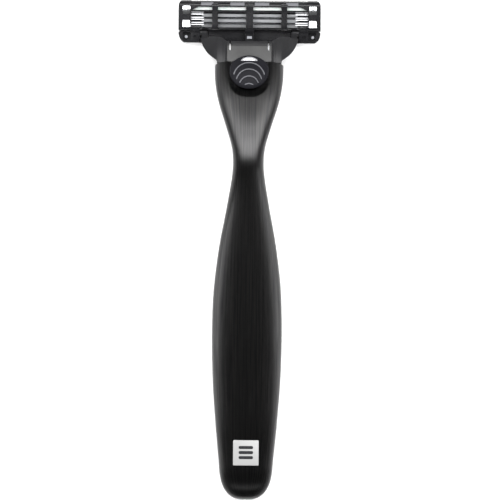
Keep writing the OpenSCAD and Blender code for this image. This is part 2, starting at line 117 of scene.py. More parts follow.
def curve(s, k):
    """Smooth curve through column k of the stations at distance s."""
    last = len(STATIONS) - 1
    i = max(j for j in range(last) if j == 0 or s >= STATIONS[j][0])

    def slope(j):
        a, b = STATIONS[max(j - 1, 0)], STATIONS[min(j + 1, last)]
        return (b[k] - a[k]) / (b[0] - a[0])

    h = STATIONS[i + 1][0] - STATIONS[i][0]
    t = (s - STATIONS[i][0]) / h
    return (
        (2 * t**3 - 3 * t**2 + 1) * STATIONS[i][k]
        + (t**3 - 2 * t**2 + t) * h * slope(i)
        + (3 * t**2 - 2 * t**3) * STATIONS[i + 1][k]
        + (t**3 - t**2) * h * slope(i + 1)
    )


def closing(s, p):
    """How much of the section is left as the butt rounds off."""
    t = max(0.0, (s - LENGTH + BUTT_L) / BUTT_L)
    return (1 - min(t, 1.0) ** p) ** (1 / p)


def half_w(s):
    return curve(s, 1) * closing(s, 2.6)


def mid_z(s):
    return (curve(s, 2) + curve(s, 3)) / 2


def half_h(s):
    return (curve(s, 3) - curve(s, 2)) / 2 * closing(s, 2.2)


def back_z(s):
    return mid_z(s) + half_h(s)


def superellipse(a):
    c, s = math.cos(a), math.sin(a)
    p = 2 / GRIP_POWER
    return math.copysign(abs(c) ** p, c), math.copysign(abs(s) ** p, s)


# ------------------------------ frames

MECH = Matrix.Translation((0, TOP_Y - ORIGIN_S, ORIGIN_Z)) @ Matrix.Rotation(-TILT, 4, "X")
MECH_INV = MECH.inverted()
BADGE_TILT = math.atan2(back_z(BADGE_S - 1) - back_z(BADGE_S + 1), 2)
RELEASE_AXIS = (0, math.cos(TILT), -math.sin(TILT))


def badge_frame(drop):
    """Frame of the badge, with its floor drop millimetres under the handle's back."""
    place = Matrix.Translation((0, TOP_Y - BADGE_S, back_z(BADGE_S) - drop))
    return place @ Matrix.Rotation(BADGE_TILT, 4, "X")


# ------------------------------ mesh tools


def smoothstep(t):
    t = min(max(t, 0.0), 1.0)
    return t * t * (3 - 2 * t)


def spline(points, steps):
    """Open Catmull-Rom curve through 2-D points."""
    last = len(points) - 1
    out = []
    for i in range(last):
        a, b, c, d = (Vector(points[min(max(i + j, 0), last)]) for j in (-1, 0, 1, 2))
        for k in range(steps):
            t = k / steps
            p = 0.5 * (2 * b + (c - a) * t + (2 * a - 5 * b + 4 * c - d) * t**2)
            out.append(tuple(p + 0.5 * (3 * b - a - 3 * c + d) * t**3))
    out.append(tuple(points[-1]))
    return out


def rounded(points, radius, steps=5):
    """A closed 2-D outline with its corners rounded. radius is one number or one per corner."""
    n = len(points)
    radii = radius if isinstance(radius, (list, tuple)) else [radius] * n
    out = []
    for i, r in enumerate(radii):
        p = Vector(points[i])
        a, b = Vector(points[i - 1]) - p, Vector(points[(i + 1) % n]) - p
        r = min(r, a.length * 0.49, b.length * 0.49)
        if r < 1e-4:
            out.append(tuple(p))
            continue
        p0, p2 = p + a.normalized() * r, p + b.normalized() * r
        for k in range(steps + 1):
            t = k / steps
            out.append(tuple((1 - t) ** 2 * p0 + 2 * t * (1 - t) * p + t**2 * p2))
    return out


def mirrored(half):
    """A closed outline from its right half, given from one end of the centre line to the other."""
    return list(half) + [(-x, y) for x, y in reversed(half) if abs(x) > 1e-6]


def square(half):
    return [(-half, -half), (half, -half), (half, half), (-half, half)]


def across(side, inner, outer):
    """Span of x between two distances from the middle. side is -1 or 1."""
    return sorted((side * inner, side * outer))


def on_side(side, points):
    """Plan points given for the right side, flipped to the left if side is -1."""
    return [(side * x, s) for x, s in points]


def soften(bm, width, angle=25, segments=2):
    """Rounds the convex and concave edges sharper than angle degrees."""
    if width <= 0:
        return
    limit = math.radians(angle)
    edges = [e for e in bm.edges if e.is_manifold and e.calc_face_angle(0) > limit]
    bmesh.ops.bevel(
        bm, geom=edges, offset=width, segments=segments, profile=0.5, affect="EDGES",
        clamp_overlap=True,
    )


def prism(points, low, high, plane="xy", soft=0.0, segments=2, matrix=None):
    """A closed solid from a 2-D outline. plane xy extrudes along Z, yz along X, xz along Y."""
    bm = bmesh.new()
    lift = {
        "xy": lambda p, h: (p[0], p[1], h),
        "yz": lambda p, h: (h, p[0], p[1]),
        "xz": lambda p, h: (p[0], h, p[1]),
    }[plane]
    bottom = [bm.verts.new(lift(p, low)) for p in points]
    top = [bm.verts.new(lift(p, high)) for p in points]
    n = len(points)
    bm.faces.new(bottom)
    bm.faces.new(top)
    for i in range(n):
        bm.faces.new((bottom[i], bottom[(i + 1) % n], top[(i + 1) % n], top[i]))
    bmesh.ops.recalc_face_normals(bm, faces=bm.faces)
    soften(bm, soft, segments=segments)
    if matrix is not None:
        bm.transform(matrix)
    return bm


def block(x, y, z, soft=0.0, matrix=None):
    points = [(x[0], y[0]), (x[1], y[0]), (x[1], y[1]), (x[0], y[1])]
    return prism(points, z[0], z[1], "xy", soft, matrix=matrix)


def s_block(x, s, z, soft=0.0):
    """A block placed by distances from the cap edge."""
    return block(x, (TOP_Y - s[1], TOP_Y - s[0]), z, soft)


def side_prism(x, points, soft=0.0):
    """A solid drawn across the razor from a side outline of (distance from cap, height)."""
    return prism([(TOP_Y - s, z) for s, z in points], x[0], x[1], "yz", soft)


def plan_prism(z, points, soft=0.0):
    """An upright solid from a plan outline of (x, distance from cap)."""
    return prism([(x, TOP_Y - s) for x, s in points], z[0], z[1], "xy", soft)


def turned(radii, matrix):
    """A turned solid from (distance along the axis, radius) pairs, about local Z."""
    bm = bmesh.new()
    steps = 32
    rings = []
    for h, r in radii:
        ring = []
        for i in range(steps):
            a = 2 * math.pi * i / steps
            ring.append(bm.verts.new((r * math.cos(a), r * math.sin(a), h)))
        rings.append(ring)
    for lower, upper in zip(rings, rings[1:]):
        for i in range(steps):
            j = (i + 1) % steps
            bm.faces.new((lower[i], lower[j], upper[j], upper[i]))
    bm.faces.new(rings[0])
    bm.faces.new(rings[-1])
    bmesh.ops.recalc_face_normals(bm, faces=bm.faces)
    bm.transform(matrix)
    return bm


def rod(start, end, radius, soft):
    """A round rod with softened ends between two points."""
    start, end = Vector(start), Vector(end)
    length = (end - start).length
    turn = Vector((0, 0, 1)).rotation_difference(end - start).to_matrix().to_4x4()
    profile = [(0, radius - soft), (soft * 0.3, radius - soft * 0.3), (soft, radius)]
    profile += [(length - h, r) for h, r in reversed(profile)]
    return turned(profile, Matrix.Translation(start) @ turn)


def pivot_rod(side, inner, outer, radius, soft):
    """A rod on the cartridge's pivot axis, on one side."""
    y = TOP_Y - PIVOT_S
    return rod((side * inner, y, PIVOT_Z), (side * outer, y, PIVOT_Z), radius, soft)


def to_object(bm, name="part"):
    mesh = bpy.data.meshes.new(name)
    bm.to_mesh(mesh)
    bm.free()
    obj = bpy.data.objects.new(name, mesh)
    bpy.context.scene.collection.objects.link(obj)
    return obj


def combine(base, others, operation):
    """Boolean of one mesh with several, in millimetres. Every mesh given is used up."""
    target = to_object(base)
    for other in others:
        tool = to_object(other)
        mod = target.modifiers.new("bool", "BOOLEAN")
        mod.operation = operation
        mod.solver = "EXACT"
        mod.object = tool
        bpy.context.view_layer.update()
        graph = bpy.context.evaluated_depsgraph_get()
        made = bpy.data.meshes.new_from_object(target.evaluated_get(graph))
        target.modifiers.clear()
        target.data = made
        bpy.data.objects.remove(tool)
    result = bmesh.new()
    result.from_mesh(target.data)
    bpy.data.objects.remove(target)
    return result


def fuse(base, *others):
    return combine(base, others, "UNION")


def cut(base, *others):
    return combine(base, others, "DIFFERENCE")


def common(base, *others):
    return combine(base, others, "INTERSECT")


def finish_piece(bm, name, nodes, material, sharp=32):
    """Scales a mesh to metres, shades it, and makes it stand for its CAD nodes."""
    bmesh.ops.remove_doubles(bm, verts=bm.verts, dist=1e-4)
    bmesh.ops.dissolve_degenerate(bm, edges=bm.edges, dist=1e-4)
    loose = [v for v in bm.verts if not v.link_faces]
    bmesh.ops.delete(bm, geom=loose, context="VERTS")
    bm.transform(Matrix.Scale(MM, 4))
    obj = to_object(bm, name)
    obj.data.shade_smooth()
    obj.data.set_sharp_from_angle(angle=math.radians(sharp))
    obj.data.materials.append(material)
    node_names = [nodes] if isinstance(nodes, str) else list(nodes)
    body = next(b for b, n in frame["record"]["behaviour"]["bodies"].items() if node_names[0] in n)
    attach(obj, body)
    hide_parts(*node_names)
    return obj


def second_material(obj, material, chosen):
    """Gives another material to the faces whose middle, in millimetres, is chosen."""
    obj.data.materials.append(material)
    index = len(obj.data.materials) - 1
    for poly in obj.data.polygons:
        if chosen(poly.center / MM):
            poly.material_index = index


def from_cad(node, name, material, soft=0.05, splits=()):
    """A copy of a CAD node with its edges softened, divided by planes (point, normal)."""
    bm = bmesh.new()
    bm.from_mesh(frame["nodes"][node].data)
    bm.transform(Matrix.Scale(1 / MM, 4))
    bmesh.ops.remove_doubles(bm, verts=bm.verts, dist=1e-3)
    flat = math.radians(1.0)
    bmesh.ops.dissolve_limit(bm, angle_limit=flat, verts=bm.verts, edges=bm.edges)
    soften(bm, soft)
    for point, normal in splits:
        bmesh.ops.bisect_plane(bm, geom=[*bm.verts, *bm.edges, *bm.faces],
                               plane_co=MECH @ Vector(point), plane_no=normal)
    return finish_piece(bm, name, node, material)


# ------------------------------ materials


class Surface:
    """A node material whose detail follows the object's own coordinates, in metres."""

    def __init__(self, name, color, metallic=0.0, roughness=0.4, **sockets):
        self.mat = bpy.data.materials.new(name)
        self.mat.use_nodes = True
        self.tree = self.mat.node_tree
        self.bsdf = self.tree.nodes["Principled BSDF"]
        self.bsdf.inputs["Base Color"].default_value = (*color, 1)
        self.bsdf.inputs["Metallic"].default_value = metallic
        self.bsdf.inputs["Roughness"].default_value = roughness
        for key, value in sockets.items():
            self.bsdf.inputs[key.replace("_", " ")].default_value = value
        self.place = self.tree.nodes.new("ShaderNodeTexCoord").outputs["Object"]
        self.color = color
        self.roughness = roughness
        self.bump_out = None

    def noise(self, size, stretch=(1, 1, 1), detail=3.0, rough=0.5):
        """Noise with features about size metres across, drawn out along an axis by stretch."""
        mapping = self.tree.nodes.new("ShaderNodeMapping")
        mapping.inputs["Scale"].default_value = [1 / (size * k) for k in stretch]
        self.tree.links.new(self.place, mapping.inputs["Vector"])
        noise = self.tree.nodes.new("ShaderNodeTexNoise")
        noise.inputs["Scale"].default_value = 1.0
        noise.inputs["Detail"].default_value = detail
        noise.inputs["Roughness"].default_value = rough
        self.tree.links.new(mapping.outputs["Vector"], noise.inputs["Vector"])
        return noise.outputs["Fac"]

    def spread(self, value, low, high):
        """Maps noise, which mostly lies between 0.3 and 0.7, to a range."""
        node = self.tree.nodes.new("ShaderNodeMapRange")
        node.inputs["From Min"].default_value = 0.3
        node.inputs["From Max"].default_value = 0.7
        node.inputs["To Min"].default_value = low
        node.inputs["To Max"].default_value = high
        self.tree.links.new(value, node.inputs["Value"])
        return node.outputs["Result"]

    def vary_roughness(self, value, amount):
        out = self.spread(value, self.roughness - amount, self.roughness + amount)
        self.tree.links.new(out, self.bsdf.inputs["Roughness"])
        return self

    def vary_color(self, value, other, share=1.0):
        mix = self.tree.nodes.new("ShaderNodeMix")
        mix.data_type = "RGBA"
        mix.inputs["A"].default_value = (*self.color, 1)
        mix.inputs["B"].default_value = (*other, 1)
        self.tree.links.new(self.spread(value, 0, share), mix.inputs["Factor"])
        self.tree.links.new(mix.outputs["Result"], self.bsdf.inputs["Base Color"])
        return self

    def bump(self, value, height, strength=1.0):
        """Relief of height metres. A second call adds to the first."""
        node = self.tree.nodes.new("ShaderNodeBump")
        node.inputs["Distance"].default_value = height
        node.inputs["Strength"].default_value = strength
        self.tree.links.new(value, node.inputs["Height"])
        if self.bump_out is not None:
            self.tree.links.new(self.bump_out, node.inputs["Normal"])
        self.bump_out = node.outputs["Normal"]
        self.tree.links.new(self.bump_out, self.bsdf.inputs["Normal"])
        return self


# map wrapped round the grip, which tells the brushed metal which way its grain runs
BRUSHING = "brushing"


def brushed_black():
    """Black anodised metal, brushed along the handle."""
    s = Surface("brushed_black_metal", (0.039, 0.039, 0.041), 1.0, 0.33, Anisotropic=0.88)
    wrap = s.tree.nodes.new("ShaderNodeUVMap")
    wrap.uv_map = BRUSHING
    s.place = wrap.outputs["UV"]
    # the grain runs lengthwise, so light spreads across the handle
    tangent = s.tree.nodes.new("ShaderNodeTangent")
    tangent.direction_type = "UV_MAP"
    tangent.uv_map = BRUSHING
    s.tree.links.new(tangent.outputs["Tangent"], s.bsdf.inputs["Tangent"])
    brush = s.noise(0.00016, (1, 60, 1), detail=4)
    streaks = s.noise(0.00055, (1, 45, 1), detail=3, rough=0.65)
    s.vary_roughness(brush, 0.05).vary_color(streaks, (0.078, 0.077, 0.076))
    s.bump(brush, 0.000006, 0.6).bump(streaks, 0.00002, 0.5)
    return s.mat


def satin_silver():
    s = Surface("satin_silver", (0.45, 0.45, 0.447), 0.35, 0.42)
    grain = s.noise(0.0002, (20, 1, 1), detail=3)
    s.vary_roughness(grain, 0.06).bump(grain, 0.000004, 0.5)
    return s.mat


def enamel():
    s = Surface("black_enamel", (0.02, 0.02, 0.022), 0.0, 0.3)
    orange_peel = s.noise(0.0004)
    s.vary_roughness(orange_peel, 0.06).bump(orange_peel, 0.000004, 0.5)
    return s.mat


def moulded(name, color, roughness, grain_size=0.00025, grain_height=0.000008, metallic=0.0,
            specular=0.3):
    """Injection-moulded plastic: a fine spark-eroded grain with faint flow marks."""
    s = Surface(name, color, metallic, roughness, Specular_IOR_Level=specular)
    grain = s.noise(grain_size, detail=2)
    flow = s.noise(0.006, (1, 2.5, 1), detail=2)
    lighter = tuple(min(1.0, c * 1.35 + 0.002) for c in color)
    s.vary_color(flow, lighter, 0.7).vary_roughness(flow, 0.06)
    s.bump(grain, grain_height, 0.6)
    return s.mat


def rubber():
    s = Surface("guard_rubber", (0.035, 0.037, 0.042), 0.0, 0.62)
    grain = s.noise(0.00018, detail=3)
    s.vary_roughness(grain, 0.1).bump(grain, 0.00001, 0.8)
    return s.mat


def wax():
    """The lubricating strip: pale, waxy and slightly mottled."""
    s = Surface("waxy_strip", (0.80, 0.83, 0.81), 0.0, 0.42, Subsurface_Weight=0.25)
    s.bsdf.inputs["Subsurface Radius"].default_value = (0.0006, 0.0008, 0.0007)
    s.bsdf.inputs["Subsurface Scale"].default_value = 0.5
    mottle = s.noise(0.0009, (2, 1, 1), detail=4)
    s.vary_color(mottle, (0.66, 0.74, 0.71), 0.8).vary_roughness(mottle, 0.1)
    s.bump(mottle, 0.00001, 0.5)
    return s.mat


def rolled(name, color, roughness, along=(30, 1, 1), metallic=1.0):
    """Rolled strip metal with fine lines along the strip."""
    s = Surface(name, color, metallic, roughness)
    lines = s.noise(0.00012, along, detail=3)
    s.vary_roughness(lines, 0.05).bump(lines, 0.000001, 0.5)
    return s.mat


HANDLE = brushed_black()
SILVER = satin_silver()
ENAMEL = enamel()
INSERT = moulded("insert_plastic", (0.022, 0.022, 0.024), 0.42)
# dark grey that paints the highlights on the button's ridge crests and on the cap band's pads
PAINTED_HIGHLIGHT = moulded("painted_highlight_grey", (0.085, 0.086, 0.094), 0.34)
# pale grey that paints small highlights on the plunger's tip and the guard studs' tops
SPOT_HIGHLIGHT = moulded("painted_highlight_spot", (0.20, 0.205, 0.22), 0.3)
BUTTON = moulded("button_plastic", (0.0085, 0.0085, 0.0105), 0.4, specular=0.06)
YOKE = moulded("connector_plastic", (0.015, 0.015, 0.016), 0.34, 0.0003, 0.00002)
# the connector's plastic made lighter where its flat back catches the light: painted light
LIT_PLATE = moulded("connector_plate_painted_light", (0.045, 0.045, 0.045), 0.36, 0.0003, 0.00003)
# pale grey on the button's front lip: a painted highlight on the black plastic
LIP_HIGHLIGHT = moulded("glossy_lip_painted_highlight", (0.5, 0.5, 0.52), 0.16, 0.0004, 0.000001, metallic=0.5)
HOUSING = moulded("housing_plastic", (0.008, 0.008, 0.009), 0.24, 0.0004, 0.000003,
                  specular=0.4)
RUBBER = rubber()
WAX = wax()
CLIP_METAL = rolled("clip_aluminium", (0.86, 0.87, 0.89), 0.22, (1, 30, 1))
# dark steel for the blades and the supports' top edges: its dark tone is painted shade for the
# gaps between the supports
SHADED_STEEL = rolled("blade_steel", (0.14, 0.145, 0.155), 0.2)
SUPPORT_STEEL = rolled("support_steel", (0.70, 0.71, 0.73), 0.28, metallic=0.2)
SPRING_STEEL = rolled("spring_wire", (0.6, 0.6, 0.62), 0.3, (1, 1, 1))


# ------------------------------ handle

RING_POINTS = 112
# the button's seat: its radius, and how softly its side meets the head's back
SEAT_R, SEAT_ROUND = 6.05, 0.1
# the thumb hollow behind the button: its rear end, its lowest line, its depth and its rise
HOLLOW_REAR, HOLLOW_LOW, HOLLOW_D, HOLLOW_RISE = -19.7, -16.8, 0.42, 1.2
# the badge's pocket: its depth, the gap round the plate and its corners; the plate's thickness
POCKET_D, POCKET_GAP, POCKET_R, PLATE_T = 0.95, 0.22, 0.35, 0.8


def seat_floor(x, u):
    """Height of the seat's floor: it sinks under the button and rises again behind it."""
    start, level = BUTTON_U + 3, BUTTON_U - 1.5
    if u > HOLLOW_LOW:
        dip = smoothstep((start - u) / (start - level))
    else:
        dip = 1 - HOLLOW_RISE * (HOLLOW_LOW - u) / (HOLLOW_LOW - HOLLOW_REAR)
    return SEAT_V - HOLLOW_D * dip * max(0.0, 1 - (x / SEAT_R) ** 2)


def dished(x, y, z):
    """Sinks the button's seat, and the thumb hollow behind it, into the head's back."""
    p = MECH_INV @ Vector((x, y, z))
    if p.z < 0:
        return x, y, z
    behind = BUTTON_U - p.y
    oval = SEAT_R / (BUTTON_U - HOLLOW_REAR)
    reach = math.hypot(p.x, behind * oval) if behind > 0 else abs(p.x)
    gap = p.z - seat_floor(p.x, p.y) - max(0.0, reach - SEAT_R)
    if gap > SEAT_ROUND:
        p.z -= gap
    elif gap > -SEAT_ROUND:
        p.z -= (gap + SEAT_ROUND) ** 2 / (4 * SEAT_ROUND)
    return tuple(MECH @ p)


def grip_loft():
    """The closed skin of the grip, with fine rows over the head and round the butt."""
    first_s, fine_s, butt_s = 14.0, 31.0, LENGTH - BUTT_L
    fine_rows, grip_rows, butt_rows = 90, 150, 26
    hollow_end_s = 33
    last_turn = math.radians(88)
    rows = [first_s + (fine_s - first_s) * i / fine_rows for i in range(fine_rows)]
    rows += [fine_s + (butt_s - fine_s) * i / grip_rows for i in range(grip_rows)]
    rows += [butt_s + BUTT_L * math.sin(last_turn * i / butt_rows) for i in range(butt_rows + 1)]
    bm = bmesh.new()
    rings = []
    for s in rows:
        ring = []
        for i in range(RING_POINTS):
            cx, cz = superellipse(2 * math.pi * (i + 0.5) / RING_POINTS)
            co = (half_w(s) * cx, TOP_Y - s, max(0.0, mid_z(s) + half_h(s) * cz))
            ring.append(bm.verts.new(dished(*co) if s < hollow_end_s else co))
        rings.append(ring)
    for a, b in zip(rings, rings[1:]):
        for i in range(RING_POINTS):
            j = (i + 1) % RING_POINTS
            bm.faces.new((a[i], b[i], b[j], a[j]))
    bm.faces.new(rings[0])
    bm.faces.new(rings[-1])
    bmesh.ops.recalc_face_normals(bm, faces=bm.faces)
    return bm


def handle_piece():
    """The grip, with the head cut square to the release axis and hollowed for the mechanism."""
    slot_v, rim_round = (2.0, 3.6), 0.12
    pocket = rounded(square(BADGE_SIDE / 2 + POCKET_GAP), POCKET_R)
    body = cut(
        grip_loft(),
        # reaches well past the head on every side
        block((-14, 14), (-HEAD_FRONT, 12), (-12, 14), matrix=MECH),
        block((-CAVITY_HW, CAVITY_HW), (BLOCK_REAR, 0), (CAVITY_FLOOR, SHOULDER_TOP), matrix=MECH),
        block((-INNER_HW, INNER_HW), (BLOCK_REAR, 0), (CAVITY_FLOOR, BLOCK_TOP), matrix=MECH),
        block((-INNER_HW, INNER_HW), (CAVITY_REAR, BLOCK_REAR + 1), (CAVITY_FLOOR, REAR_TOP),
              matrix=MECH),
        block((-SLOT_HW, SLOT_HW), SLOT_U, slot_v, matrix=MECH),
        prism(pocket, 0, 4, matrix=badge_frame(POCKET_D)),
    )
    sharp = math.radians(50)
    rim = [e for e in body.edges if e.is_manifold and e.calc_face_angle(0) > sharp
           and all(abs((MECH_INV @ v.co).y + HEAD_FRONT) < 0.02 for v in e.verts)]
    bmesh.ops.bevel(body, geom=rim, offset=rim_round, segments=2, profile=0.5, affect="EDGES",
                    clamp_overlap=True)
    brushing_map(finish_piece(body, "handle_grip", "handle_body", HANDLE, sharp=38))


def section_angle(p):
    """Angle of a point, in millimetres, round the middle of the grip's section."""
    return math.atan2(p.x, p.z - mid_z(TOP_Y - p.y))


def brushing_map(obj, mean_radius=8.0):
    """Wraps a map, in metres, round the grip. Its first direction runs across the grain."""
    mesh = obj.data
    layer = mesh.uv_layers.new(name=BRUSHING)
    for poly in mesh.polygons:
        middle = section_angle(poly.center / MM)
        for i in poly.loop_indices:
            p = mesh.vertices[mesh.loops[i].vertex_index].co / MM
            a = section_angle(p)
            # keeps a face that crosses the seam in one piece
            a += 2 * math.pi * round((middle - a) / (2 * math.pi))
            layer.data[i].uv = (a * mean_radius * MM, p.y * MM)


def badge_pieces():
    """The silver badge plate and its three plain bars."""
    gap, corner = 0.02, 0.3
    plate = prism(rounded(square(BADGE_SIDE / 2 - gap), corner), 0, PLATE_T, soft=0.07,
                  matrix=badge_frame(POCKET_D))
    finish_piece(plate, "badge_face", "badge_plate", SILVER)
    half_long, half_thick, pitch = 2.1, 0.45, 1.5
    # the bars' frame lies just over the plate; their underside and top in it
    frame_d, under, top = 0.13, -0.04, 0.06
    bars = []
    for i in (-1, 0, 1):
        low, high = i * pitch - half_thick, i * pitch + half_thick
        outline = rounded([(-half_long, low), (half_long, low), (half_long, high),
                           (-half_long, high)], half_thick - 0.01, 8)
        bars.append(prism(outline, under, top, soft=0.03, matrix=badge_frame(frame_d)))
    finish_piece(fuse(*bars), "badge_bars", "badge_motif", ENAMEL)


# ------------------------------ button

# flat front, and the slanted shoulders that run from it to the round sides
BUTTON_FRONT = -6.85
SHOULDER_X, SHOULDER_SLOPE = 2.5, 0.625
# arched ridges: the crest of the first, their pitch, radii, half width, height and extent
RIDGES = 4
FIRST_CREST, CREST_PITCH = -15.8, 2.15
FIRST_R, R_STEP = 2.5, 0.8
RIDGE_HW, RIDGE_H = 0.36, 0.26
ARCH_END, ARCH_FADE = 0.15, 0.5
RIDGE_RIM, RIM_FADE = 0.92, 0.06
# lip in front, painted pale as a highlight: its half width, its rear and front, its height and its
# run-up
LIP_HW, LIP_U = 2.4, (-8.95, -7.75)
LIP_H, LIP_RUN = 0.3, 0.7
# radius of the dome, and where its rim starts to roll down and how far it rolls
DOME_R = 14.0
ROLL_START, ROLL_H = 0.9, 0.6


def button_outline(a):
    """Radius of the button at angle a from +X."""
    c, s = abs(math.cos(a)), math.sin(a)
    if s <= 0:
        return BUTTON_R
    front = BUTTON_FRONT - BUTTON_U
    slant = (front + SHOULDER_X * SHOULDER_SLOPE) / (s + c * SHOULDER_SLOPE)
    # the least of the three, with their corners slightly rounded
    power = 14.0
    return sum(v**-power for v in (BUTTON_R, front / s, slant)) ** (-1 / power)


def ridge_rise(x, u, edge):
    """Height of the arched ridges. edge runs from 0 in the middle to 1 at the rim."""
    rise = 0.0
    for i in range(RIDGES):
        r = FIRST_R + i * R_STEP
        centre = FIRST_CREST + i * CREST_PITCH - r
        away = abs(math.hypot(x, u - centre) - r + RIDGE_HW)
        ends = smoothstep((u - centre - ARCH_END * r) / ARCH_FADE)
        rise = max(rise, RIDGE_H * smoothstep(1 - away / RIDGE_HW) * ends)
    return rise * smoothstep((RIDGE_RIM - edge) / RIM_FADE)


def button_height(x, u, edge):
    """Height of the button's back: a dome, ridges, a lip in front and a rolled rim."""
    dome = BUTTON_TOP - (x * x + (u - BUTTON_U) ** 2) / (2 * DOME_R)
    lip = LIP_H * smoothstep((u - LIP_U[0]) / LIP_RUN) * max(0.0, 1 - (x / LIP_HW) ** 2)
    roll = ROLL_H * max(0.0, (edge - ROLL_START) / (1 - ROLL_START)) ** 2
    return dome + max(ridge_rise(x, u, edge), lip) - roll


def button_piece():
    """The button, with its foot in the slot of the seat."""
    bm = bmesh.new()
    around, out = 180, 84
    angles = [2 * math.pi * i / around for i in range(around)]
    centre = bm.verts.new((0, BUTTON_U, button_height(0, BUTTON_U, 0)))
    rings = []
    for j in range(1, out + 1):
        f = j / out
        ring = []
        for a in angles:
            r = button_outline(a) * f
            x, u = r * math.cos(a), BUTTON_U + r * math.sin(a)
            ring.append(bm.verts.new((x, u, button_height(x, u, f))))
        rings.append(ring)
    for v, share in ((BUTTON_UNDER + 0.1, 1.0), (BUTTON_UNDER, 0.985)):
        ring = []
        for a in angles:
            r = button_outline(a) * share
            ring.append(bm.verts.new((r * math.cos(a), BUTTON_U + r * math.sin(a), v)))
        rings.append(ring)
    for i in range(around):
        j = (i + 1) % around
        bm.faces.new((centre, rings[0][i], rings[0][j]))
        for a, b in zip(rings, rings[1:]):
            bm.faces.new((a[i], b[i], b[j], a[j]))
    bm.faces.new(rings[-1])
    bmesh.ops.recalc_face_normals(bm, faces=bm.faces)
    gap, foot_u, foot_v = 0.1, (-13.5, -11.7), (2.75, BUTTON_UNDER + 0.3)
    bm = fuse(bm, block((gap - SLOT_HW, SLOT_HW - gap), foot_u, foot_v, soft=0.08))
    bm.transform(MECH)
    cap = finish_piece(bm, "button_cap", "ejector_button", BUTTON, sharp=50)
    back_v = BUTTON_UNDER + 0.4

    def on_ridge(place):
        p = MECH_INV @ place
        edge = math.hypot(p.x, p.y - BUTTON_U) / BUTTON_R
        return p.z > back_v and ridge_rise(p.x, p.y, edge) > 0.55 * RIDGE_H

    def on_lip(place):
        p = MECH_INV @ place
        oval = math.hypot(p.x / LIP_HW, (p.y - LIP_U[0]) / (LIP_U[1] - LIP_U[0]))
        return p.y > LIP_U[0] and oval < 1 and p.z > back_v

    # the ridge crests get a painted highlight
    second_material(cap, PAINTED_HIGHLIGHT, on_ridge)
    # the front lip gets a pale painted highlight
    second_material(cap, LIP_HIGHLIGHT, on_lip)


# ------------------------------ springs


def coil(name, node, centres, span, radius, wire, turns):
    """Round-wire coil springs along the release axis, closed at both ends."""
    bm = bmesh.new()
    per_turn, around = 20, 8
    steps = per_turn * (turns + 2)
    for cx in centres:
        rings = []
        for i in range(steps + 1):
            turn = i / per_turn
            active = min(max(turn - 1, 0), turns) / turns
            a = 2 * math.pi * turn
            # the first and last turns lie flat, a wire's thickness along
            lead = min(turn, 1) + max(0, turn - turns - 1)
            h = span[0] + wire + active * (span[1] - span[0] - 4 * wire) + lead * wire
            radial = Vector((math.cos(a), 0, math.sin(a)))
            middle = Vector((cx, h, 0)) + radial * radius
            ring = []
            for k in range(around):
                b = 2 * math.pi * k / around
                ring.append(bm.verts.new(
                    middle + wire * (radial * math.cos(b) + Vector((0, math.sin(b), 0)))))
            rings.append(ring)
        for a, b in zip(rings, rings[1:]):
            for k in range(around):
                m = (k + 1) % around
                bm.faces.new((a[k], b[k], b[m], a[m]))
        bm.faces.new(rings[0])
        bm.faces.new(rings[-1])
    bmesh.ops.recalc_face_normals(bm, faces=bm.faces)
    bm.transform(MECH)
    obj = finish_piece(bm, name, node, SPRING_STEEL, sharp=60)
    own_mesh(obj)


def coil_springs():
    """The plunger's spring and the button's two return springs."""
    plunger_span, button_span = (-13.98, -9.62), (-18.55, -13.25)
    coil("plunger_coil", "plunger_spring", [0], plunger_span, 1.15, 0.14, 4)
    coil("button_coils", "button_springs", [-3.1, 3.1], button_span, 0.85, 0.14,
         4)


def plunger_piece():
    """The plunger, with a pale painted highlight on a patch of its tip."""
    near, far, hw = 0.2, 1.0, 0.7
    splits = [((0, u, 0), RELEASE_AXIS) for u in (near, far)]
    splits += [((x, 0, 0), (1, 0, 0)) for x in (-hw, hw)]
    plunger = from_cad("plunger", "plunger_tip", HOUSING, 0.12, splits)

    def highlit_patch(place):
        p = MECH_INV @ place
        return near < p.y < far and abs(p.x) < hw

    # the patch gets a pale painted highlight
    second_material(plunger, SPOT_HIGHLIGHT, highlit_patch)


# ------------------------------ connector

# the sleeve round the nose: half width, half height, rear and front
SLEEVE_HW, SLEEVE_HT = 6.45, 3.1
SLEEVE_REAR, SLEEVE_FRONT = 0.2 - HEAD_FRONT, -0.5
# where the sleeve's flat back begins to slope to its front
SLEEVE_SLOPE = -3.1


def wings():
    """Both wings with the bridge between them: a plan outline cut from a drooping section."""
    rear_edge = [(0, 20), (9.2, 20), (9.45, 18.2)]
    outer_edge = spline([(9.6, 17.8), (10.7, 17.0), (12.0, 15.9), (13.05, 14.5), (13.75, 13.1),
                         (14.15, 11.9), (14.2, 11.25)], 6)
    tip = [(13.9, 11.2), (12.15, 11.2)]
    front_edge = spline([(11.8, 10.85), (10.2, 10.8), (8.6, 10.95), (7.4, 11.6), (6.4, 12.2)], 5)
    plan = mirrored(rear_edge + outer_edge + tip + front_edge + [(0, 12.2)])
    back = spline([(15.0, -0.45), (13.4, 0.25), (11.6, 1.1), (9.8, 1.85), (8.6, 2.15),
                   (7.9, 2.2), (7.2, 2.05), (6.7, 2.3), (6.0, 2.5)], 5)
    under = [(6.9, 0.9), (12.0, -0.2), (15.0, -1.7)]
    section = mirrored([(0, 2.5)] + back[::-1] + under[::-1])
    solid = common(plan_prism((-2, 18), plan),
                   prism(section, SLEEVE_REAR, 3, "xz", matrix=MECH))
    soften(solid, 0.16, angle=45, segments=2)
    return solid


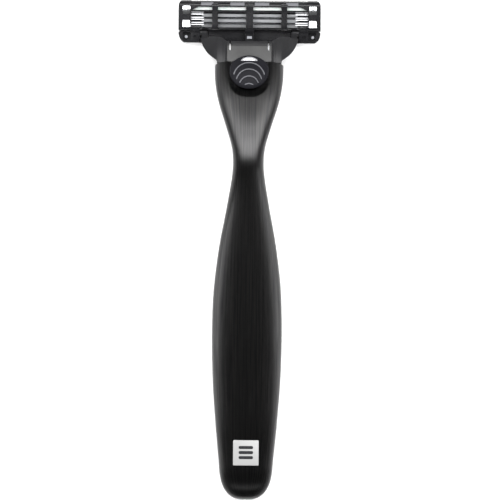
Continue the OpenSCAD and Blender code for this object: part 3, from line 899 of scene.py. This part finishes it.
def pivot_arms():
    """The two arms that reach under the wings, each with its pivot pin."""
    outline = rounded([(12.9, 5.9), (11.8, 4.95), (9.4, 2.95), (9.0, 2.2), (9.9, 1.45),
                       (11.2, 2.4), (12.9, 3.9)], [0.2, 0.8, 0.6, 0.6, 0.6, 0.8, 0.2])
    arm_in, arm_out, pin_in, pin_out = 12.2, 13.9, 12.5, 16.3
    parts = []
    for side in (-1, 1):
        parts.append(side_prism(across(side, arm_in, arm_out), outline, soft=0.12))
        parts.append(pivot_rod(side, pin_in, pin_out, PIVOT_R, 0.12))
    return parts


def connector_piece():
    """The yoke that slides on to the nose and carries the cartridge."""
    profile = rounded(
        [(SLEEVE_REAR, -SLEEVE_HT), (SLEEVE_FRONT - 0.9, -SLEEVE_HT), (SLEEVE_FRONT, -2.2),
         (SLEEVE_FRONT, 1.9), (SLEEVE_SLOPE, SLEEVE_HT), (SLEEVE_REAR, SLEEVE_HT - 0.35)],
        [0.1, 0.5, 0.5, 0.6, 0.25, 0.1])
    sleeve = prism(profile, -SLEEVE_HW, SLEEVE_HW, "yz", soft=0.25, segments=3, matrix=MECH)
    whole = fuse(sleeve, wings(), *pivot_arms())
    nose_hw, nose_ht, nose_end = 4.6, 2.3, -1.7
    plunger_hw, plunger_ht = 1.5, 1.3
    window = [(-plunger_hw, -plunger_ht), (plunger_hw, -plunger_ht), (plunger_hw, plunger_ht),
              (-plunger_hw, plunger_ht)]
    cuts = [
        block((-nose_hw, nose_hw), (SLEEVE_REAR - 1, nose_end), (-nose_ht, nose_ht),
              matrix=MECH),
        prism(rounded(window, 0.25), -2, 1, "xz", matrix=MECH),
        # notch that the detent leaf drops into
        block((-1.6, 1.6), (-5.0, -3.4), (-2.75, -2), matrix=MECH),
    ]
    slot = rounded([(5.4, 11.2), (5.8, 11.2), (5.8, 14.9), (5.4, 14.9)], [0, 0, 0.19, 0.19], 4)
    for side in (-1, 1):
        cuts.append(plan_prism((-1, 16), on_side(side, slot)))
        # shallow groove that sets the middle plate off from the wings
        groove = on_side(side, [(SLEEVE_HW, 12.0), (6.85, 12.0), (6.95, 18.6), (SLEEVE_HW, 18.6)])
        cuts.append(common(plan_prism((0, 16), groove),
                           block((-9, 9), (SLEEVE_REAR - 1, 1), (2.0, 9), matrix=MECH)))
    yoke = finish_piece(cut(whole, *cuts), "connector_yoke", "connector", YOKE, sharp=40)

    def on_lit_plate(place):
        p = MECH_INV @ place
        return abs(p.x) < SLEEVE_HW - 0.01 and p.y < SLEEVE_SLOPE - 0.1 and p.z > 2.7

    # the flat back of the middle plate is painted lighter: painted light
    second_material(yoke, LIT_PLATE, on_lit_plate)


# ------------------------------ cartridge

# guard blocks: their undersides and backs, their inner edges, and how far they run
GUARD_BASE, GUARD_BACK = 0.86, 3.4
GUARD_IN, GUARD_S = 14.45, (8.6, 12.5)
# ribs across the window: their middles and half widths
RIBS = ((-10.1, 0.85), (0, 1.05), (10.1, 0.85))
# the four stretches of the window between the ribs
SPANS = ((-WINDOW_HW, -10.95), (-9.25, -1.05), (1.05, 9.25), (10.95, WINDOW_HW))
WINDOW_S = (3.68, 8.15)
# low pads along the cap band, and the stretch of their backs that gets a painted highlight
PADS = ((-14.2, -10.6), (-5.7, -1.5), (1.5, 5.7), (10.6, 14.2))
PAD_HIGHLIGHT_S = (0.75, 1.7)


def cam_profile():
    """Side outline of the boss that works the plunger: an involute about the pivot."""
    base_z, contact_u = 1.3, 1.99
    before, step, count = 22, 4.0, 17
    square_on = 90 - math.degrees(TILT)
    pivot_y = TOP_Y - PIVOT_S
    p = MECH_INV @ Vector((0, pivot_y, PIVOT_Z))
    radius = -p.z
    start = math.degrees((p.y - contact_u) / radius)
    points = []
    for i in range(count):
        ahead = i * step - before
        turn = math.radians(square_on - ahead)
        roll = math.radians(start + ahead)
        points.append((pivot_y + radius * (math.cos(turn) - roll * math.sin(turn)),
                       PIVOT_Z + radius * (math.sin(turn) + roll * math.cos(turn))))
    tail = rounded([(TOP_Y - 8.3, 6.3), (TOP_Y - 7.6, 4.6), (TOP_Y - 7.6, 3.6)], [0.3, 0.4, 0])
    return [(TOP_Y - 10.3, base_z)] + points + tail + [(TOP_Y - 8.4, base_z)]


def rib(x, wide):
    """A rounded rib across the back of the blade window, flared at both ends."""
    flare = wide + 0.28
    plan = mirrored([(0, 1.15), (flare * 0.7, 1.15), (flare, 1.6), (flare, 2.3), (wide, 3.1),
                     (wide, 7.2), (flare, 7.9), (flare, 8.5), (flare * 0.7, 8.9), (0, 8.9)])
    hump = [(0.9, 4.1), (1.25, 4.9), (1.7, 5.15), (2.3, 5.1), (3.2, 4.95), (8.0, 4.95),
            (8.6, 4.6), (9.0, 3.95), (5, 3.95)]
    beyond = 3
    bm = common(plan_prism((3.9, 7), [(x + px, s) for px, s in plan]),
                side_prism((x - beyond, x + beyond), rounded(hump, 0.35)))
    soften(bm, 0.22, angle=40, segments=2)
    return bm


def end_cap(side):
    """The end of the housing, rounded in plan and from the side."""
    inner, outer, beyond = 16.95, HOUSING_HW, HOUSING_HW + 1
    plan = rounded(
        on_side(side, [(inner, 0.35), (17.15, 0.05), (19.4, 0.0), (20.25, 0.35), (outer, 1.3),
                       (outer, 9.0), (inner, 9.0)]), [0.1, 0.1, 0.6, 0.5, 0.5, 0, 0])
    profile = rounded(
        [(0.0, 1.5), (0.5, 0.72), (1.1, 0.46), (8.98, 0.46), (8.98, 4.3), (8.6, 4.74),
         (1.3, 4.74), (0.35, 4.1), (0.0, 3.2)], [0.3, 0.3, 0.3, 0.1, 0.3, 0.3, 0.4, 0.4, 0.4])
    cap = common(plan_prism((-1, 8), plan), side_prism((-beyond, beyond), profile))
    soften(cap, 0.18, angle=40)
    return cap


def guard_block(side):
    """The block at one end of the guard, before its pocket is cut."""
    outer, (near, far) = HOUSING_HW - 0.02, GUARD_S
    plan = rounded(
        on_side(side, [(GUARD_IN, near), (outer, near), (outer, 10.2), (HOUSING_HW - 0.5, 11.6),
                       (HOUSING_HW - 1.5, far), (GUARD_IN, far)]),
        [0, 0, 0.4, 0.6, 0.5, 0.25])
    return plan_prism((GUARD_BASE, GUARD_BACK), plan, 0.16)


def end_cutters(side):
    """Everything cut from one end: the clip's seat, the stud's pocket and the pivot's bore."""
    gap, leg, above = 0.03, 0.35, 9
    cap_s, guard_s = CLIP_S[0] - 0.05, CLIP_S[1] + 0.05
    lane = across(side, CLIP_IN - gap, CLIP_IN + CLIP_W + gap)
    pocket = on_side(side, [(17.2, 9.4), (19.5, 9.4), (19.5, 11.8), (17.2, 11.8)])
    stud_x, stud_y = side * STUD_X, TOP_Y - STUD_S
    return [
        s_block(lane, (cap_s, CLIP_S[0] + leg), (-1, above)),
        s_block(lane, (CLIP_S[1] - leg, guard_s), (-1, above)),
        s_block(lane, (cap_s, guard_s), (4.3, above)),
        s_block(lane, (cap_s, 2.75), (4.03, above)),
        plan_prism((1.25, above), rounded(pocket, 0.25)),
        rod((stud_x, stud_y, 0), (stud_x, stud_y, 4), 0.47, 0.01),
        pivot_rod(side, 14.0, 16.5, PIVOT_R + 0.03, 0.01),
        # room for the connector's arm
        pivot_rod(side, 12.05, 14.46, 1.05, 0.01),
        # step between the end cap and the guard block
        s_block(across(side, 20.3, 22), (8.98, 9.3), (0, above)),
        # small square drain beside the pivot
        s_block(across(side, 15.5, 16.4), (10.4, 11.7), (2.6, above)),
    ]


def window_cutters():
    """Openings for the blades, the strip's key and the strip's seat, leaving the ribs across."""
    split_z, rib_foot = 3.95, 3.9
    low = s_block((-WINDOW_HW, WINDOW_HW), WINDOW_S, (-1, split_z))
    high = [s_block(span, WINDOW_S, (rib_foot, 7)) for span in SPANS]
    ends = s_block((-18.65, 18.65), (WINDOW_S[0], 8.45), (-1, 1.6))
    slot = [(-17.05, 3.0), (17.05, 3.0), (14.85, 2.0), (-14.85, 2.0)]
    key = [plan_prism((0, split_z), slot)]
    for span in SPANS:
        key.append(common(plan_prism((rib_foot, 9), slot), s_block(span, (1, 4), (0, 9))))
    seat = s_block((-16.85, 16.85), (0.9, 3.3), (-1, 1.15))
    tabs = [s_block(across(side, 13.3, 17.2), (3.36, 4.7), (2.8, 9)) for side in (-1, 1)]
    return [low, *high, ends, *key, seat, *tabs]


def housing_piece():
    """The moulded frame: bars, end caps, guard blocks, ribs, pads and the plunger's cam."""
    middle = rounded([(0.15, 1.5), (0.6, 0.72), (1.2, 0.45), (8.72, 0.45), (8.72, 3.7),
                      (8.2, 4.45), (7.85, 4.6), (1.5, 4.6), (1.1, 4.45), (0.45, 3.9), (0.15, 3.1)],
                     [0.3, 0.3, 0.3, 0.1, 0.3, 0.3, 0.2, 0.2, 0.3, 0.4, 0.4])
    frame_hw, shelf_hw, cam_hw = HOUSING_HW - 0.6, 14.6, 1.3
    parts = [s_block((-shelf_hw, shelf_hw), GUARD_S, (GUARD_BASE, 1.5), 0.1)]
    for side in (-1, 1):
        parts += [end_cap(side), guard_block(side)]
        # low shelf between the frame and the guard block
        parts.append(s_block(across(side, 14.5, 17.0), (8.4, 9.4), (2.2, 3.9), 0.15))
    parts += [rib(x, wide) for x, wide in RIBS]
    for span in PADS:
        parts.append(side_prism(span, [(0.7, 4.2), (0.7, 4.44), (1.75, 4.72), (1.75, 4.2)], 0.06))
    parts.append(prism(cam_profile(), -cam_hw, cam_hw, "yz", soft=0.14))
    whole = fuse(side_prism((-frame_hw, frame_hw), middle), *parts)
    body = cut(whole, *window_cutters(), *end_cutters(-1), *end_cutters(1))
    shell = finish_piece(body, "cartridge_housing", "blade_housing", HOUSING, sharp=40)

    def on_pad(p):
        return (p.z > 4.5 and PAD_HIGHLIGHT_S[0] < TOP_Y - p.y < PAD_HIGHLIGHT_S[1]
                and any(a < p.x < b for a, b in PADS))

    # the pads' sloped backs get a painted highlight
    second_material(shell, PAINTED_HIGHLIGHT, on_pad)


def strip_piece():
    """The lubricating strip, with the key that holds it in the cap."""
    half_long, top_z = 16.8, 1.13
    profile = rounded([(0.95, top_z), (0.95, 0.5), (1.3, 0.25), (2.8, 0.25), (3.25, 0.5),
                       (3.25, top_z)], 0.2)
    base = side_prism((-half_long, half_long), profile, soft=0.06)
    key = plan_prism((0.9, 3.2), [(-16.95, 2.95), (16.95, 2.95), (14.8, 2.05), (-14.8, 2.05)], 0.1)
    finish_piece(fuse(base, key), "strip_body", "lubricating_strip", WAX)


def guard_piece():
    """Soft guard: a thin pad with six flexible fins and two anchor studs."""
    pad_hw, fin_hw = 19.4, 19.2
    fins, first_s, pitch = 6, 9.0, 0.6
    root_z, tip_z, stud_top = 0.6, 0.2, 2.3
    parts = []
    for i in range(fins):
        s = first_s + i * pitch
        fin = rounded([(s - 0.02, root_z), (s + 0.08, tip_z), (s + 0.2, tip_z),
                       (s + 0.27, root_z)], [0, 0.06, 0.06, 0])
        parts.append(side_prism((-fin_hw, fin_hw), fin, 0.04))
    for side in (-1, 1):
        x, y = side * STUD_X, TOP_Y - STUD_S
        parts.append(rod((x, y, root_z), (x, y, stud_top), 0.45, 0.18))
    pad = s_block((-pad_hw, pad_hw), (8.95, 12.3), (0.5, 0.83), 0.08)
    guard = finish_piece(fuse(pad, *parts), "guard_fins", "guard_strip", RUBBER)
    # the studs' tops get a pale painted highlight
    second_material(guard, SPOT_HIGHLIGHT, lambda p: p.z > 1.3)


def clip_piece(side, name, node):
    """A flat band bent round the housing's end, its legs folded over the back."""
    t, back = CLIP_T, 4.6
    cap_s, guard_s = CLIP_S
    inside = back - t
    # s where each leg ends: the guard-side leg, then the cap-side one
    long_end, short_end = 5.9, 4.3
    outer = rounded([(cap_s, 0), (guard_s, 0), (guard_s, back + 0.1), (long_end, back - 0.32)],
                    [0.45, 0.45, 0.45, 0], 6)
    inner = rounded([(long_end, inside - 0.32), (guard_s - t, inside + 0.06), (guard_s - t, t),
                     (cap_s + t, t), (cap_s + t, inside - 0.24), (2.75, inside - 0.01),
                     (short_end, inside - 0.02)], [0, 0.2, 0.2, 0.2, 0.1, 0.3, 0], 6)
    # the cap-side leg slopes down to its bend
    shoulder = rounded([(short_end, back - 0.02), (2.7, back), (cap_s + 0.02, back - 0.28),
                        (cap_s, 0.5)], [0, 0.3, 0.35, 0], 8)
    band = side_prism(across(side, CLIP_IN, CLIP_IN + CLIP_W), outer + inner + shoulder[:-1], 0.04)
    finish_piece(band, name, node, CLIP_METAL, sharp=35)


def support_piece(i):
    """One bent blade support with its tilted end tabs."""
    s = BLADE_S + i * BLADE_PITCH
    half_t = 0.15
    bend_z, top, run = 1.17, 3.6, 0.95
    inner_z, outer_z = bend_z - 0.15, bend_z + 0.12
    toe_z = inner_z - run * BLADE_SLOPE
    heel_z = bend_z + 0.17 - run * BLADE_SLOPE
    bend = rounded(
        [(s - half_t, top), (s - half_t, bend_z - 0.12), (s, inner_z), (s + run, toe_z),
         (s + run, heel_z), (s + half_t, outer_z), (s + half_t, top)],
        [0.05, 0.2, 0.1, 0.04, 0.04, 0.12, 0.05], 4)
    leg_hw, toe_hw, tab_in = 17.1, 18.5, 13.4
    leg = side_prism((-leg_hw, leg_hw), bend, 0.03)
    toe = side_prism((-toe_hw, toe_hw), [
        (s - half_t, bend_z - 0.1), (s, inner_z), (s + run, toe_z), (s + run, heel_z),
        (s + half_t, outer_z), (s - half_t, outer_z)], 0.03)
    # each tab lies over the leg's top and leans towards the guard
    reach = 0.42
    tab = [(s - reach, top - 0.33), (s + reach, top - 0.2), (s + reach, top),
           (s - reach, top - 0.247)]
    tabs = [side_prism(across(side, tab_in, leg_hw), tab, 0.03) for side in (-1, 1)]
    n = i + 1
    strip = finish_piece(fuse(leg, toe, *tabs), f"support_strip_{n}", f"blade_support_{n}",
                         SUPPORT_STEEL)
    # the leg's cut edge, between the tabs, is painted dark as shade for the gaps between the
    # supports
    second_material(strip, SHADED_STEEL, lambda p: p.z > 3 and abs(p.x) < tab_in - 0.1)


def blade_piece(i):
    """One blade, ground on both faces to its edge."""
    s = BLADE_S + i * BLADE_PITCH
    half_long = 18.5
    back_s, back_top, edge, t = s - 0.1, 1.0, 1.24, 0.12
    # where the ground faces start, and the edge itself
    bevel_s = s + edge - 0.3
    bevel_z = back_top - BLADE_SLOPE * (edge - 0.2)
    tip = back_top - t / 2 - BLADE_SLOPE * (edge + 0.1) - 0.02
    outline = [(back_s, back_top), (bevel_s, bevel_z), (s + edge, tip + 0.02), (s + edge, tip),
               (bevel_s, bevel_z - t), (back_s, back_top - t)]
    n = i + 1
    # the blade's steel is darkened: painted shade for the gaps between the supports
    finish_piece(side_prism((-half_long, half_long), outline), f"blade_strip_{n}", f"blade_{n}",
                 SHADED_STEEL, sharp=8)


def spring_fingers(i):
    """The pair of fingers under one blade's support. They flatten as the blade sinks."""
    n = i + 1
    fingers = from_cad(f"blade_springs_{n}", f"spring_fingers_{n}", HOUSING, 0.04)
    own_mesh(fingers)


def build():
    """Every piece of the razor."""
    handle_piece()
    badge_pieces()
    button_piece()
    connector_piece()
    housing_piece()
    strip_piece()
    guard_piece()
    clip_piece(-1, "clip_band_left", "clip_left")
    clip_piece(1, "clip_band_right", "clip_right")
    for i in range(3):
        support_piece(i)
        blade_piece(i)
        spring_fingers(i)
    from_cad("nose_insert", "nose_carrier", INSERT, 0.06)
    from_cad("insert_pin", "carrier_pin", SPRING_STEEL, 0.06)
    from_cad("ejector_slider", "slider_frame", INSERT, 0.08)
    plunger_piece()
    from_cad("detent_spring", "detent_leaf", SPRING_STEEL, 0.04)
    coil_springs()


# ------------------------------ studio


def area_light(name, direction, distance, size, power, glossy=True):
    """A soft box facing the razor. direction is (tilt from overhead, bearing) in degrees."""
    tilt, bearing = (math.radians(a) for a in direction)
    way = Vector((math.sin(tilt) * math.sin(bearing), math.sin(tilt) * math.cos(bearing),
                  math.cos(tilt)))
    data = bpy.data.lights.new(name, "AREA")
    data.shape = "RECTANGLE"
    data.size, data.size_y = size
    data.energy = power
    light = bpy.data.objects.new(name, data)
    light.location = way * distance
    light.rotation_euler = (-way).to_track_quat("-Z", "Y").to_euler()
    light.visible_glossy = glossy
    bpy.context.scene.collection.objects.link(light)


def paper_floor():
    """A sheet of white paper just under the razor."""
    reach, under = 3.0, 0.0002
    bm = bmesh.new()
    bm.faces.new([bm.verts.new((x, y, -under)) for x, y in square(reach)])
    floor = to_object(bm, "floor")
    paper = Surface("white_paper", (0.93, 0.93, 0.93), 0.0, 0.9)
    paper.bump(paper.noise(0.002), 0.00002, 0.2)
    floor.data.materials.append(paper.mat)


def studio():
    """The floor, a faint white world, four soft boxes and a fill that leaves no reflection."""
    paper_floor()
    world = bpy.data.worlds.new("studio")
    world.use_nodes = True
    background = world.node_tree.nodes["Background"]
    background.inputs["Color"].default_value = (1, 1, 1, 1)
    background.inputs["Strength"].default_value = 0.06
    bpy.context.scene.world = world

    area_light("cap_softbox", (29.8, 0), 0.9, (1.4, 0.38), 9.9)
    area_light("left_softbox", (66, -104), 0.3, (0.11, 0.165), 0.18)
    area_light("right_softbox", (66, 99), 0.3, (0.15, 0.165), 0.26)
    area_light("butt_softbox", (46, 180), 0.9, (0.9, 0.12), 0.25)
    area_light("overhead_fill", (0, 0), 1.2, (1.2, 1.2), 26, glossy=False)


def camera():
    """Straight down on the back, from far away, with the photograph's slight turn."""
    distance, view, to_the_side, turn = 1.5, 0.14645, 0.0007, 0.5
    data = bpy.data.cameras.new("camera")
    data.sensor_width = 36
    data.lens = data.sensor_width * distance / view
    data.clip_end = 20
    cam = bpy.data.objects.new("camera", data)
    cam.location = (to_the_side, 0.0, distance)
    cam.rotation_euler = (0, 0, math.radians(turn))
    bpy.context.scene.collection.objects.link(cam)
    bpy.context.scene.camera = cam
    bpy.context.scene.view_settings.view_transform = "Standard"


build()
studio()
camera()
